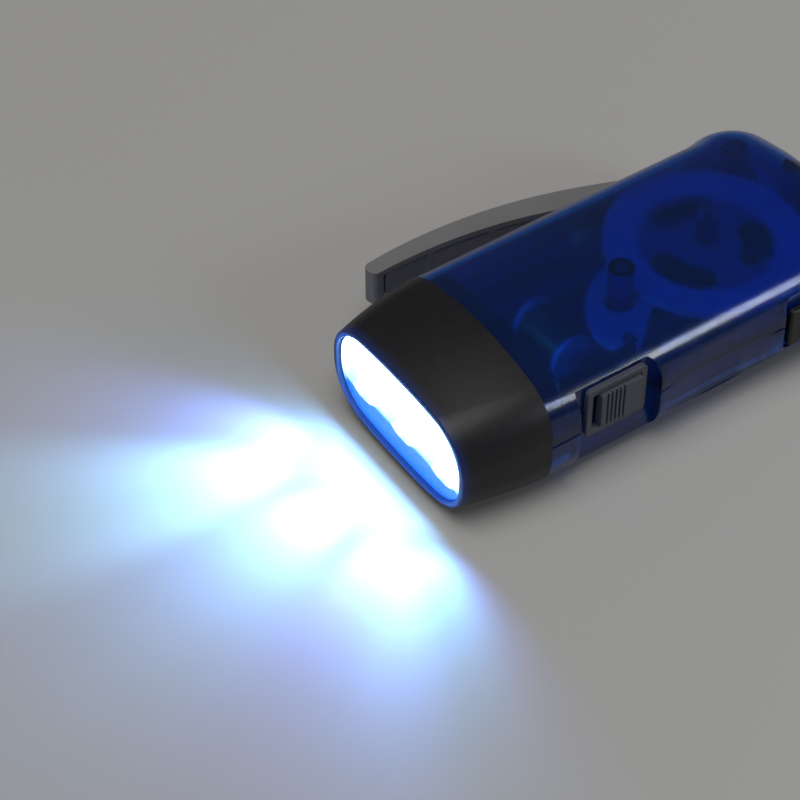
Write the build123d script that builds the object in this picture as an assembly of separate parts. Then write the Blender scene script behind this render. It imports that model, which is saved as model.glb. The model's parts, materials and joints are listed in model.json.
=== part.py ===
from build123d import *
import math
import os

# Squeeze-lever dynamo torch, millimetres.
# +X is the beam, +Y the side of the slide switch, +Z up. The torch lies on its flat
# underside at z = 0 and the origin is the middle of that underside. The lever stands open.

# ---------- housing ----------
body_w = 48.0            # across the two straight sides
body_t = 29.2            # underside to the top of the crown
body_front = 33.0        # plane where the shells meet the bezel
body_rear = -52.0        # tail
crown_r = 58.4           # curve of the top and of the underside, across the housing
land_sag = 0.6           # how much of the lower crown is cut off flat to stand on
edge_r = 10.0            # rounding from the crown into the sides
tail_corner_r = 12.0     # plan corner at the tail, switch side
lobe_r = 11.5            # plan bulge round the lever hinge
lobe_proud = 1.0         # how far that bulge stands out of the straight side
lobe_blend = 6.0         # hollow blend from the bulge to the side
wall = 2.0
part_z = 15.4            # parting plane of the two shells
seam_depth = 0.35
seam_w = 0.5
scoop_depth = 0.9        # finger scoop between the switch and the lock
scoop_front = 6.6
scoop_rear = -22.9

# ---------- bezel, lens and lamp ----------
bezel_len = 18.8
bezel_wall = 1.8
bezel_mid = 10.0         # station of the middle section, from the joint
bezel_mid_half = 23.0
bezel_mid_low = 0.5
bezel_mid_high = 27.9
bezel_mid_crown = 68.4
opening_half = 20.4      # lamp opening, half width
opening_low = 3.0
opening_high = 24.6
opening_corner = 9.3
opening_depth = 7.6
seat_len = 2.0           # thick ring behind the opening that holds the reflector
seat_overrun = 0.6       # how far the opening is cut on behind that ring
rim = 1.1                # bezel lip round the opening
rim_round = 0.5
front_crown = 130.0      # much flatter crown at the mouth
collar_len = 4.5         # bezel collar inside the shells
collar_wall = 1.4
collar_root = 1.2        # how far it runs on into the bezel's wall
slip = 0.2               # clearance of loose moulded fits
lens_round = 0.3
lens_t = 1.5
lens_set_back = 0.9
cup_count = 3
cup_pitch = 13.1
cup_r = 6.6
cup_depth = 10.6
led_r = 2.45
led_len = 6.6
led_collar = 0.35        # how far the foot of a lamp stands out of its body
led_collar_t = 1.0
led_gap = 0.4            # round a lamp where it stands in its cup
reflector_skin = 1.2
board_t = 1.2
led_board_w = 30.0
led_board_h = 11.0
led_board_round = 2.0
stand_off = 1.6          # reflector legs to the lamp board
reflector_bar = 2.0      # half height of the bar that ties the cups
reflector_leg = 1.0

# ---------- lever ----------
hinge_y = -(body_w / 2 + lobe_proud - lobe_r)
hinge_x = body_rear + lobe_r
hinge = (hinge_x, hinge_y)
squeeze_range = 8.5      # degrees from open to fully squeezed
lever_low = 9.9
lever_high = 18.3
lever_hub_r = 5.2
lever_skin = 2.2         # outer plate of the lever
lever_flange = 1.5       # its upper and lower flanges
lever_depth_root = 5.6   # depth of the channel near the hinge
lever_depth_tip = 3.6
lever_tip = (36.4, -34.6)
lever_bow = (11.3, -34.9)
lever_knee = (-14.6, -28.8)
lever_tip_r = 1.5
lever_rib_x = (-20.0, -6.0, 8.0, 22.0)
lever_rib_t = 1.2
lever_solid_tip = 4.5
pin_r = 1.5
pin_low = 3.1
pin_high = 24.9
end_gap = 0.1            # beyond the end of a pin or shaft in its blind hole
hinge_boss = 1.2         # wall of the boss round the lever pin
boss_gap = 0.5           # between a turning hub and the boss below it
run_fit = 0.05           # radial clearance of shafts that turn
push_fit = 0.02          # radial clearance of pins that are pushed in
slot_gap = 0.6           # above and below the lever in its slot
recess_y = -17.8         # floor of the lever recess, from the centre line
recess_rear = -1.5
recess_wall = 1.6
slot_rear = -36.5
slot_back = 1.2          # from the recess floor to the slot
notch_len = 6.0          # how far the recess runs on into the bezel
notch_y = -19.2          # floor of that notch
notch_wall = 1.2

# ---------- gear train ----------
flywheel_x = -22.5
flywheel_xy = (flywheel_x, 0.0)
drive_module = 0.8
fine_module = 0.5
sector_teeth = 46        # of a full circle
sector_root_r = 3.0      # where the sector's sides run into the hub
sector_root_turn = 20.0  # degrees that they spread by there
sector_spare = 1.3       # teeth beyond those that the stroke needs
pinion_teeth = 10
ratchet_gear_teeth = 40
step_gear_teeth = 28
tooth_shift = 0.4        # profile shift: out on the pinions, in on the wheels
tooth_addendum = 0.9
tooth_dedendum = 1.25
pressure_angle = 20.0
backlash = 0.07          # taken off every tooth at the pitch line
first_shaft_angle = 77.0 # of the first shaft seen from the hinge
shaft_r = 1.0
gear_low = 6.2           # underside of the first wheel
ratchet_gear_t = 2.8
ratchet_web = 1.0
ratchet_tooth_count = 12
ratchet_out_r = 7.3
ratchet_in_r = 6.3
pawl_gap = 0.2           # by which a pawl's tip falls away from the step it drives
pawl_tip_r = 6.75
pawl_t = 0.8             # thickness of its springy arm
pawl_out_r = 5.5
pawl_hub_r = 4.2
clutch_hub_r = 2.8
layer_gap = 0.2          # between wheels and plates that pass over each other
drive_low = 10.0         # underside of the lever's sector
drive_t = 2.2
step_gear_low = 9.9
step_gear_t = 2.0
step_hole_count = 5
step_hole_r = 1.2
step_hole_at = 4.4
horn_low = 12.9          # lock horn on the lever hub
horn_t = 2.3
horn_tip_r = 31.0
horn_tip_w = 1.8
horn_root_w = 2.6
horn_neck_len = 6.2      # from its tip back to where it starts to narrow
horn_finger_len = 2.0
horn_angle = 90.0
spring_wire_r = 0.35
spring_mean_r = 3.7
spring_pitch = 1.15
spring_turns = 3
spring_low = 5.4
spring_leg = 5.0
spring_peg_r = 0.8
spring_peg_at = 4.4      # from the hinge, along the leg
spring_touch = 0.05      # between a leg and its peg

# ---------- flywheel and generator ----------
flywheel_r = 20.5
flywheel_low = 18.8
flywheel_t = 1.6
flywheel_web_t = 1.0
flywheel_rim_in = 14.6
flywheel_groove_r = (16.6, 18.6)
flywheel_groove_w = 0.6
flywheel_groove_depth = 0.3
flywheel_clear = 0.4     # round and over the flywheel
window_count = 3
window_mid_r = 10.4
window_w = 6.6
window_span = 78.0       # degrees between the window ends
window_turn = 23.5       # where the first window lies at rest
hub_r = 3.2
hub_step = 0.5           # how far the hub stands over the rim
sleeve_r = 2.0
magnet_r = 7.6
magnet_low = 12.5
magnet_high = 16.7
pole_gap = 0.9
pole_t = 2.0
pole_from = 20.0
pole_to = 76.0
core_low = 13.0
core_t = 2.8
core_arm_w = 2.4
coil_x = 15.2
coil_r = 4.3
bobbin_r = 2.6
core_fit = 0.1           # round the core in the bobbin
coil_len = 11.6
flange_t = 0.9
flange_over = 0.4
plate_low = 17.0
plate_t = 1.2
plate_in_r = 14.2
plate_out_r = 16.4
plate_margin = 0.4
shaft_pad_r = 2.2

# ---------- fasteners and posts ----------
shell_screws_at = [(1.0, 2.5), (-46.6, -2.0)]
frame_screws_at = [(-14.9, -13.3), (5.5, 11.5), (-32.7, -11.4)]
screw_boss_r = 2.6
screw_foot_r = 3.8
screw_r = 1.2
screw_head_r = 2.4
screw_head_low = 1.5
screw_head_t = 1.6
screw_joint_z = 12.0
screw_seat = 1.4         # plastic over a screw's head
frame_post_r = 2.0
frame_screw_r = 0.8
frame_head_r = 1.4
frame_head_t = 0.7
frame_screw_len = 5.5    # below the gear frame
boss_r = 2.4
shaft_low = 3.3
screw_hole_top = 19.0
screw_top = 18.5
cross_len = 3.2          # cross slot in the head of a shell screw
cross_w = 0.6
cross_depth = 0.8
coil_post_r = 1.5
coil_post_back = 6.0     # from the coil to its two posts
rib_t = 1.4              # ribs that carry the holder and the circuit board

# ---------- slide switch ----------
pocket_floor = 21.2      # of the switch pocket, from the centre line
pocket_front = 26.3
pocket_rear = 7.2
pocket_top = 24.5
pocket_round = 4.0
pocket_wall = 1.6
frame_front = 23.8       # grey frame round the button
frame_rear = 9.7
frame_bottom = 11.2
frame_top = 23.2
frame_t = 1.2
frame_rim = 1.3
frame_corner = 1.2
button_gap = 0.15
button_low_rim = 1.9     # frame below and above the button
button_high_rim = 1.7
button_round = 0.5
button_len = 9.9
button_proud = 0.9
switch_travel = 1.3
groove_count = 5
groove_pitch = 0.97
groove_w = 0.4
groove_depth = 0.5
groove_start = 1.4       # from the button's front end to its first groove
stem_len = 4.0
stem_h = 3.2
board_y = 15.2           # inner face of the circuit board
board_low = 5.0
board_high = 22.0
board_slot = 1.5         # how deep the board stands in its two ribs
switch_can_t = 2.1
switch_can_end = 3.0     # metal beyond the nub's play, along and across
switch_can_side = 1.9
nub_len = 1.6
nub_h = 1.8
nub_out = 1.4            # how far the nub stands out of the switch
nub_floor = 0.8          # plastic behind the nub in the switch

# ---------- lever lock ----------
lock_front = -24.7
lock_len = 10.9
lock_low = 9.7
lock_h = 9.2
lock_travel = 2.5
lock_proud = 0.4
lock_floor = 22.7        # shallow, to leave room for the flywheel behind it
lock_wall = 1.4
lock_margin = 1.2
lock_top_margin = 0.7
lock_bar_in = 18.0
lock_bar_out = 19.4
lock_peg_w = 1.3
lock_peg_in = 15.2
lock_neck_w = 3.0
lock_neck_h = 3.5
lock_bar_h = 2.5
lock_rib_count = 4
lock_rib_pitch = 1.4
lock_rib_w = 0.6
lock_rib_depth = 0.4
lock_rib_in = 2.6
lock_round = 1.0
lock_pad_gap = 0.3       # behind the pad

# ---------- power ----------
cell_r = 5.8
cell_t = 5.4
cell_count = 3
cell_x = 26.6
cell_z = 11.8
cell_low_y = -13.6
holder_wall = 0.8
holder_end = 0.9         # room for a contact at each end
contact_t = 0.4
contact_w = 7.0
holder_rise = 2.0        # tray walls over the middle of the cells
cell_cap = 0.6           # raised cap of a cell
cell_cap_r = 4.6
cell_gap = 0.05

# ---------- lanyard eye ----------
eye_r = 3.4
eye_bore_r = 1.7
eye_t = 4.5
eye_out = 2.0            # bore centre outside the corner round

half_w = body_w / 2
bezel_front = body_front + bezel_len
top_crown_z = body_t - crown_r
low_crown_z = crown_r - land_sag
slot_low = lever_low - slot_gap
slot_high = lever_high + slot_gap
plate_top = plate_low + plate_t
lamp_z = (opening_low + opening_high) / 2
switch_z = (frame_bottom + frame_top) / 2


# ---------- small helpers ----------
def block(xs, ys, zs):
    size = [high - low for low, high in (xs, ys, zs)]
    middle = [(low + high) / 2 for low, high in (xs, ys, zs)]
    return Pos(*middle) * Box(*size)


def disc(at, radius, low, high):
    return Pos(at[0], at[1], (low + high) / 2) * Cylinder(radius, high - low)


def tube(at, outer, inner, low, high):
    return disc(at, outer, low, high) - disc(at, inner, low - 1, high + 1)


def polar(at, radius, angle):
    turn = math.radians(angle)
    return (at[0] + radius * math.cos(turn), at[1] + radius * math.sin(turn))


def heading(start, end):
    return math.degrees(math.atan2(end[1] - start[1], end[0] - start[0]))


def between(start, end):
    return math.hypot(end[0] - start[0], end[1] - start[1])


def plate(outline, low, high):
    return extrude(Pos(0, 0, low) * outline, high - low)


def polygon(points):
    return make_face(Polyline(*points, close=True))


def one(shape):
    """The shape as a single solid."""
    return shape.solids().sort_by(SortBy.VOLUME)[-1]


# ---------- forms that several pieces share ----------
def plan(inset, front):
    """Housing outline from above, moved in by inset and open to the front plane."""
    side = half_w - inset
    tail = body_rear + inset
    corner = (body_rear + tail_corner_r, half_w - tail_corner_r)
    blend_y = -(half_w + lobe_blend)
    reach = lobe_r + lobe_blend
    blend = (hinge_x + math.sqrt(reach ** 2 - (blend_y - hinge_y) ** 2), blend_y)
    swing = heading(hinge, blend) % 360
    edges = [
        Line((front, side), (corner[0], side)),
        CenterArc(corner, tail_corner_r - inset, 90, 90),
        Line((tail, corner[1]), (tail, hinge_y)),
        CenterArc(hinge, lobe_r - inset, 180, swing - 180),
        CenterArc(blend, lobe_blend + inset, swing - 180, 270 - swing),
        Line((blend[0], -side), (front, -side)),
        Line((front, -side), (front, side)),
    ]
    return make_face(edges)


def housing(inset, front=body_front):
    """Rounded, crowned form of the housing, moved in by inset on every side."""
    form = plate(plan(inset, front), -land_sag, body_t)
    lying = Rot(0, 90, 0)
    form &= Pos(0, 0, top_crown_z) * lying * Cylinder(crown_r - inset, 400)
    form &= Pos(0, 0, low_crown_z) * lying * Cylinder(crown_r - inset, 400)
    rims = [
        edge for edge in form.edges()
        if abs(edge.center().Z - body_t / 2) > body_t / 4
        and edge.center().X < front - 0.1
    ]
    form = fillet(rims, edge_r - inset)
    return form & block((body_rear - 1, front + 1), (-body_w, body_w), (inset, body_t))


def section(x, half, low, high, crown, corner, inset=0.0):
    """Crowned, round-cornered outline across the torch at x."""
    half, low, high = half - inset, low + inset, high - inset
    crown, corner = crown - inset, max(corner - inset, 0.5)
    side_y = half - corner
    rise = math.sqrt((crown - corner) ** 2 - side_y ** 2)
    upper_z, lower_z = high - crown + rise, low + crown - rise
    lean = math.degrees(math.atan2(side_y, rise))
    edges = [
        CenterArc((0, high - crown), crown, 90 - lean, 2 * lean),
        CenterArc((-side_y, upper_z), corner, 90 + lean, 90 - lean),
        Line((-half, upper_z), (-half, lower_z)),
        CenterArc((-side_y, lower_z), corner, 180, 90 - lean),
        CenterArc((0, low + crown), crown, 270 - lean, 2 * lean),
        CenterArc((side_y, lower_z), corner, 270 + lean, 90 - lean),
        Line((half, lower_z), (half, upper_z)),
        CenterArc((side_y, upper_z), corner, 0, 90 - lean),
    ]
    return Plane.YZ.offset(x) * make_face(edges)


def opening(x, inset=0.0):
    return section(x, opening_half, opening_low, opening_high, front_crown, opening_corner, inset)


def bezel_form(inset=0.0):
    joint = section(body_front, half_w, -land_sag, body_t, crown_r, edge_r, inset)
    middle = section(body_front + bezel_mid, bezel_mid_half, bezel_mid_low, bezel_mid_high,
                     bezel_mid_crown, edge_r, inset)
    mouth = opening(bezel_front, inset - rim)
    return loft([joint, middle, mouth])


def lever_recess(grow=0.0):
    """Space beside the housing that the closed lever sinks into."""
    return block((recess_rear, body_front), (-body_w, recess_y + grow),
                 (slot_low - grow, slot_high + grow))


def lever_notch(grow=0.0):
    """Where that space runs on into the side of the bezel."""
    return block((body_front - 1, body_front + notch_len + grow), (-body_w, notch_y + grow),
                 (slot_low - grow, slot_high + grow))


# ---------- gear geometry ----------
def involute(angle):
    return math.tan(angle) - angle


def tooth_points(teeth, module, shift, middle):
    """One tooth about the angle middle, from root to root, as (radius, degrees) pairs."""
    pitch_r = teeth * module / 2
    base_r = pitch_r * math.cos(math.radians(pressure_angle))
    tip_r = pitch_r + module * (tooth_addendum + shift)
    root_r = pitch_r - module * (tooth_dedendum - shift)
    alpha = math.radians(pressure_angle)
    thick = module * (math.pi / 2 + 2 * shift * math.tan(alpha)) - backlash
    half_angle = thick / (2 * pitch_r) + involute(alpha)
    start_r = max(base_r, root_r)
    steps = 3
    flank = []
    for i in range(steps + 1):
        radius = start_r + (tip_r - start_r) * i / steps
        flank.append((radius, half_angle - involute(math.acos(min(1.0, base_r / radius)))))
    foot = (root_r, flank[0][1] + 0.25 * module / pitch_r)
    side = [foot] + flank
    left = [(radius, middle - math.degrees(angle)) for radius, angle in side]
    right = [(radius, middle + math.degrees(angle)) for radius, angle in reversed(side)]
    return left + right


def gear_outline(at, teeth, module, shift, phase):
    """Full toothed outline with one tooth at the angle phase."""
    points = []
    for i in range(teeth):
        points += tooth_points(teeth, module, shift, phase + 360 * i / teeth)
    return polygon([polar(at, radius, angle) for radius, angle in points])


def mesh_phase(teeth, towards):
    """Phase that puts a gap, not a tooth, on the line to the driving gear."""
    return towards + 180 / teeth


pinion_drive_r = pinion_teeth * drive_module / 2
pinion_fine_r = pinion_teeth * fine_module / 2
sector_r = sector_teeth * drive_module / 2
ratchet_gear_r = ratchet_gear_teeth * fine_module / 2
step_gear_r = step_gear_teeth * fine_module / 2
shaft_a = polar(hinge, sector_r + pinion_drive_r, first_shaft_angle)


def third_point(first, from_first, second, from_second):
    """Point at given distances from two others, on the switch side of their line."""
    span = between(first, second)
    along = (from_first ** 2 - from_second ** 2 + span ** 2) / (2 * span)
    away = math.sqrt(from_first ** 2 - along ** 2)
    return polar(first, from_first, heading(first, second) + math.degrees(math.atan2(away, along)))


shaft_b = third_point(shaft_a, ratchet_gear_r + pinion_fine_r,
                      flywheel_xy, step_gear_r + pinion_fine_r)


# ---------- housing shells ----------
def hollow_shell():
    """Both shells in one, with the lever recess, the two pockets and the scoop."""
    outer = housing(0)
    shell = outer - housing(wall, body_front + 1)
    trough = lever_recess(recess_wall)
    switch_back = block((pocket_rear - pocket_wall, pocket_front + pocket_wall),
                        (pocket_floor - pocket_wall, body_w), (0, pocket_top + 0.5))
    lock_rear = lock_front - lock_len
    lock_back = block((lock_rear - lock_margin - pocket_wall, lock_front + lock_margin + pocket_wall),
                      (lock_floor - lock_wall, body_w),
                      (lock_low - lock_margin - pocket_wall,
                       lock_low + lock_h + lock_travel + lock_top_margin + pocket_wall))
    shell += outer & (trough + switch_back + lock_back)
    shell -= lever_recess()
    shell -= block((slot_rear, recess_rear + 1), (-body_w, recess_y - slot_back), (slot_low, slot_high))
    shell -= switch_pocket()
    shell -= lock_pocket()
    scoop_len = scoop_front - scoop_rear
    scoop_r = (scoop_len ** 2 / 4 + scoop_depth ** 2) / (2 * scoop_depth)
    shell -= disc(((scoop_front + scoop_rear) / 2, half_w - scoop_depth + scoop_r), scoop_r,
                  lock_low - 2, lock_low + lock_h + 2)
    seam = (part_z - seam_w / 2, part_z + seam_w / 2)
    shell -= plate(plan(-1, body_front), *seam) - plate(plan(seam_depth, body_front + 1), *seam)
    return shell


def switch_pocket():
    low_corner = (pocket_rear + pocket_round, pocket_top - pocket_round)
    outline = Plane.XZ * make_face([
        Line((pocket_rear, -1), (pocket_front, -1)),
        Line((pocket_front, -1), (pocket_front, pocket_top)),
        Line((pocket_front, pocket_top), (low_corner[0], pocket_top)),
        CenterArc(low_corner, pocket_round, 90, 90),
        Line((pocket_rear, low_corner[1]), (pocket_rear, -1)),
    ])
    cut = extrude(Pos(0, half_w + 2, 0) * outline, half_w + 2 - pocket_floor)
    middle = button_middle()
    stem = (middle - stem_len / 2 - slip, middle + stem_len / 2 + switch_travel + slip)
    return cut + block(stem, (board_y, half_w), stem_heights(slip))


def lock_pocket():
    lock_rear = lock_front - lock_len
    pad = block((lock_rear - lock_margin, lock_front + lock_margin), (lock_floor, body_w),
                (lock_low - lock_top_margin, lock_low + lock_h + lock_travel + lock_top_margin))
    pad = fillet(pad.edges().filter_by(Axis.Y), 2 * lock_round)
    low, high = neck_heights()
    neck = block((neck_span()[0] - slip, neck_span()[1] + slip), (lock_bar_out, half_w),
                 (low - slip, high + lock_travel + slip))
    return pad + neck


def neck_span():
    middle = lock_front - lock_len / 2
    return (middle - lock_neck_w / 2, middle + lock_neck_w / 2)


def neck_heights():
    return (lock_low + layer_gap, lock_low + layer_gap + lock_neck_h)


def inside(shape):
    """The part of a shape that lies within the housing's outer form."""
    return shape & housing(wall / 2)


def make_top_shell(shell):
    top = shell & block((body_rear - 1, body_front + 1), (-body_w, body_w), (part_z, body_t))
    flywheel_top = flywheel_low + flywheel_t + flywheel_clear
    bosses = disc(hinge, pin_r + hinge_boss, flywheel_top, body_t)
    bosses += disc(flywheel_xy, boss_r, flywheel_top + hub_step, body_t)
    for at in shell_screws_at:
        bosses += disc(at, screw_boss_r, screw_joint_z, body_t)
    top += inside(bosses)
    top -= disc(hinge, pin_r + push_fit, 0, pin_high + end_gap)
    top -= disc(flywheel_xy, shaft_r + push_fit, 0, pin_high + end_gap)
    for at in shell_screws_at:
        top -= disc(at, screw_r + push_fit, 0, screw_hole_top)
    return top


def make_bottom_shell(shell):
    bottom = shell & block((body_rear - 1, body_front + 1), (-body_w, body_w), (0, part_z))
    bosses = disc(hinge, pin_r + hinge_boss, 0, lever_low - boss_gap)
    bosses += disc(spring_post_at(), spring_peg_r, 0, spring_low + 2 * spring_wire_r)
    bosses += disc(shaft_a, boss_r, 0, gear_low - boss_gap)
    bosses += disc(shaft_b, boss_r, 0, gear_low - layer_gap - boss_gap)
    bosses += disc(flywheel_xy, boss_r, 0, step_gear_low - layer_gap - boss_gap)
    for at in frame_screws_at:
        bosses += disc(at, frame_post_r, 0, plate_low)
    for at in shell_screws_at:
        bosses += disc(at, screw_boss_r, 0, screw_joint_z)
        bosses += disc(at, screw_foot_r, 0, screw_head_low + screw_head_t + screw_seat)
    for side in (-1, 1):
        bosses += disc((coil_x - coil_post_back, side * core_arm_y()), coil_post_r, 0, core_low)
    for x in (cell_x - cell_r, cell_x):
        bosses += block((x, x + rib_t), (cell_low_y, cell_end_y()), (0, cell_z - cell_r - holder_wall))
    for x in board_rib_xs():
        bosses += block((x - rib_t / 2, x + rib_t / 2), (board_y - rib_t, board_y + board_t + rib_t),
                        (0, board_low + board_slot))
    bottom += inside(bosses)
    bottom += lanyard_eye()
    for x in board_rib_xs():
        bottom -= block((x - rib_t, x + rib_t), (board_y - cell_gap, board_y + board_t + cell_gap),
                        (board_low, board_high))
    bottom -= disc(hinge, pin_r + push_fit, pin_low - end_gap, part_z)
    for at in (shaft_a, shaft_b, flywheel_xy):
        bottom -= disc(at, shaft_r + push_fit, shaft_low - end_gap, part_z)
    for at in frame_screws_at:
        bottom -= disc(at, frame_screw_r + push_fit, plate_low - frame_screw_len - end_gap, plate_low + 1)
    for at in shell_screws_at:
        bottom -= disc(at, screw_r + slip, 0, screw_joint_z + 1)
        bottom -= disc(at, screw_head_r + slip, -1, screw_head_low + screw_head_t)
    return bottom


def board_rib_xs():
    return (pocket_rear + 2, pocket_front - 1)


def eye_at():
    corner = (body_rear + tail_corner_r, half_w - tail_corner_r)
    return polar(corner, tail_corner_r + eye_out, 135)


def lanyard_eye():
    corner = (body_rear + tail_corner_r, half_w - tail_corner_r)
    low = part_z - eye_t
    eye = disc(eye_at(), eye_r, low, part_z)
    root = disc(polar(corner, tail_corner_r, 135), eye_r + 1, low, part_z)
    eye += root
    eye -= disc(corner, tail_corner_r - wall / 2, low - 1, part_z + 1)
    return eye - disc(eye_at(), eye_bore_r, low - 1, part_z + 1)


# ---------- bezel and lamp ----------
def make_bezel():
    ring = bezel_form() & block((body_front, bezel_front), (-body_w, body_w), (0, body_t))
    front_edges = ring.faces().sort_by(Axis.X)[-1].edges()
    ring = fillet(front_edges, rim_round)
    back = bezel_front - opening_depth - seat_len
    hollow = bezel_form(bezel_wall) & block((body_front - 1, back), (-body_w, body_w), (0, body_t))
    mouth = extrude(opening(back - seat_overrun), bezel_front - back + 1)
    notch_skin = lever_notch(notch_wall) & bezel_form()
    ring = ring - hollow + notch_skin - mouth - lever_notch()
    outer = section(body_front - collar_len, half_w, -land_sag, body_t, crown_r, edge_r, wall + slip)
    inner = section(body_front - collar_len, half_w, -land_sag, body_t, crown_r, edge_r,
                    wall + slip + collar_wall)
    collar = extrude(outer, collar_len + collar_root) - extrude(inner, collar_len + 2 * collar_root)
    gap = recess_wall + slip
    collar -= block((body_front - collar_len - 1, body_front), (-body_w, recess_y + gap),
                    (slot_low - gap, slot_high + gap))
    collar &= block((0, bezel_front), (-body_w, body_w), (wall + slip, body_t))
    collar -= lever_notch()
    return ring + collar


def lens_back():
    return bezel_front - lens_set_back - lens_t


def make_lens():
    pane = extrude(opening(lens_back(), slip), lens_t)
    return fillet(pane.faces().sort_by(Axis.X)[-1].edges(), lens_round)


def cup_centres():
    return [((i - (cup_count - 1) / 2) * cup_pitch, lamp_z) for i in range(cup_count)]


def facing(x, y, z):
    """Place for a turned form whose axis runs along the beam."""
    return Pos(x, y, z) * Rot(0, 90, 0)


def make_reflector():
    front = lens_back()
    length = cup_depth + reflector_skin
    back = front - length
    small_r = led_r + led_gap
    tray = extrude(opening(front - reflector_skin, slip), reflector_skin)
    for y, z in cup_centres():
        tray += facing(front - length / 2, y, z) * Cone(
            small_r + reflector_skin, cup_r + reflector_skin, length)
    tray += block((back, back + reflector_skin), (-cup_pitch, cup_pitch),
                  (lamp_z - reflector_bar, lamp_z + reflector_bar))
    tray &= extrude(opening(back - 1, slip), length + 1)
    for y, z in cup_centres():
        tray -= facing(front - cup_depth / 2, y, z) * Cone(small_r, cup_r, cup_depth)
        tray -= facing(front, y, z) * Cylinder(small_r - slip, 3 * length)
    for side in (-1, 1):
        leg_y = side * cup_pitch / 2
        tray += block((back - stand_off, back + slip), (leg_y - reflector_leg, leg_y + reflector_leg),
                      (lamp_z - reflector_bar, lamp_z + reflector_bar))
    return tray


def lamp_board_front():
    return lens_back() - cup_depth - reflector_skin - stand_off


def make_leds():
    """Lamps with a domed end and a collar at the foot, each turned about its own axis."""
    foot, collar_r = lamp_board_front(), led_r + led_collar
    half = make_face([
        Line((0, 0), (0, collar_r)),
        Line((0, collar_r), (led_collar_t, collar_r)),
        Line((led_collar_t, collar_r), (led_collar_t, led_r)),
        Line((led_collar_t, led_r), (led_len, led_r)),
        CenterArc((led_len, 0), led_r, 90, -90),
        Line((led_len + led_r, 0), (0, 0)),
    ])
    lamp = revolve(half, Axis.X)
    return Compound(children=[one(Pos(foot, y, z) * lamp) for y, z in cup_centres()])


def make_led_board():
    front = lamp_board_front()
    board = block((front - board_t, front), (-led_board_w / 2, led_board_w / 2),
                  (lamp_z - led_board_h / 2, lamp_z + led_board_h / 2))
    return fillet(board.edges().filter_by(Axis.X), led_board_round)


# ---------- lever ----------
def lever_outline(depth_root, depth_tip, skin=0.0):
    """Lever plate from above, in its open position; skin leaves that much of the outer plate."""
    tangent = heading(hinge, lever_knee) - math.degrees(
        math.acos(lever_hub_r / between(hinge, lever_knee)))
    root = polar(hinge, lever_hub_r, tangent)
    outer_out = tangent
    knee_out = heading(root, lever_knee) - 90
    bow_out = -90.5
    tip_out = -77.0
    outer = [polar(root, -skin, outer_out), polar(lever_knee, -skin, knee_out),
             polar(lever_bow, -skin, bow_out), polar(lever_tip, -skin, tip_out)]
    inner = [polar(root, -depth_root, outer_out), polar(lever_knee, -depth_root, knee_out),
             polar(lever_bow, -(depth_root + depth_tip) / 2, bow_out),
             polar(lever_tip, -depth_tip, tip_out)]
    return make_face([
        Line(outer[0], outer[1]),
        ThreePointArc(outer[1], outer[2], outer[3]),
        Line(outer[3], inner[3]),
        ThreePointArc(inner[3], inner[2], inner[1]),
        Line(inner[1], inner[0]),
        Line(inner[0], outer[0]),
    ])


def make_lever():
    outline = lever_outline(lever_depth_root, lever_depth_tip)
    tip = outline.vertices().sort_by(Axis.X)[-2:]
    arm = plate(fillet(tip, lever_tip_r), lever_low, lever_high)
    hollow = plate(lever_outline(lever_depth_root + 3, lever_depth_tip + 3, lever_skin),
                   lever_low + lever_flange, lever_high - lever_flange)
    hollow -= disc(hinge, lever_hub_r + lever_flange, 0, body_t)
    hollow -= disc(lever_tip, lever_solid_tip, 0, body_t)
    for x in lever_rib_x:
        hollow -= block((x - lever_rib_t / 2, x + lever_rib_t / 2), (-body_w, body_w), (0, body_t))
    arm -= hollow
    lever = arm + disc(hinge, lever_hub_r, lever_low, lever_high)
    lever += plate(sector_outline(), drive_low, drive_low + drive_t)
    lever += plate(horn_outline(), horn_low, horn_low + horn_t)
    lever += disc(spring_peg(), spring_peg_r, spring_top() - spring_wire_r, lever_low + lever_flange)
    return lever - disc(hinge, pin_r + run_fit, 0, body_t)


def sector_outline():
    """Toothed sector on the hinge hub, long enough for the whole stroke."""
    step = 360 / sector_teeth
    first = -math.ceil(squeeze_range / step + sector_spare)
    points = []
    for i in range(first, 2):
        points += tooth_points(sector_teeth, drive_module, -tooth_shift, first_shaft_angle + i * step)
    rim = [polar(hinge, radius, angle) for radius, angle in points]
    low_angle, high_angle = points[0][1], points[-1][1]
    return polygon(rim + [polar(hinge, sector_root_r, high_angle + sector_root_turn),
                          polar(hinge, sector_root_r, low_angle - sector_root_turn)])


def horn_outline():
    """Arm across the housing that the lock catches."""
    root, tip = horn_root_w / 2, horn_tip_w / 2
    neck_at, finger_at = horn_tip_r - horn_neck_len, horn_tip_r - horn_finger_len
    arm = [(pin_r, -root), (neck_at, -root), (finger_at, -tip), (horn_tip_r, -tip),
           (horn_tip_r, tip), (finger_at, tip), (neck_at, root), (pin_r, root)]
    return polygon([
        polar(hinge, math.hypot(along, across), horn_angle + math.degrees(math.atan2(across, along)))
        for along, across in arm
    ])


def spring_top():
    return spring_low + spring_pitch * spring_turns


def leg_offset():
    """From the hinge's height on the plan to a peg that a spring leg lies against."""
    return -(spring_mean_r + spring_wire_r + spring_touch + spring_peg_r)


def spring_peg():
    """Peg under the lever that pushes the upper leg."""
    return (hinge_x + spring_peg_at, hinge_y + leg_offset())


def spring_post_at():
    """Post on the floor that holds the lower leg."""
    return (hinge_x - spring_peg_at, hinge_y + leg_offset())


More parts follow.
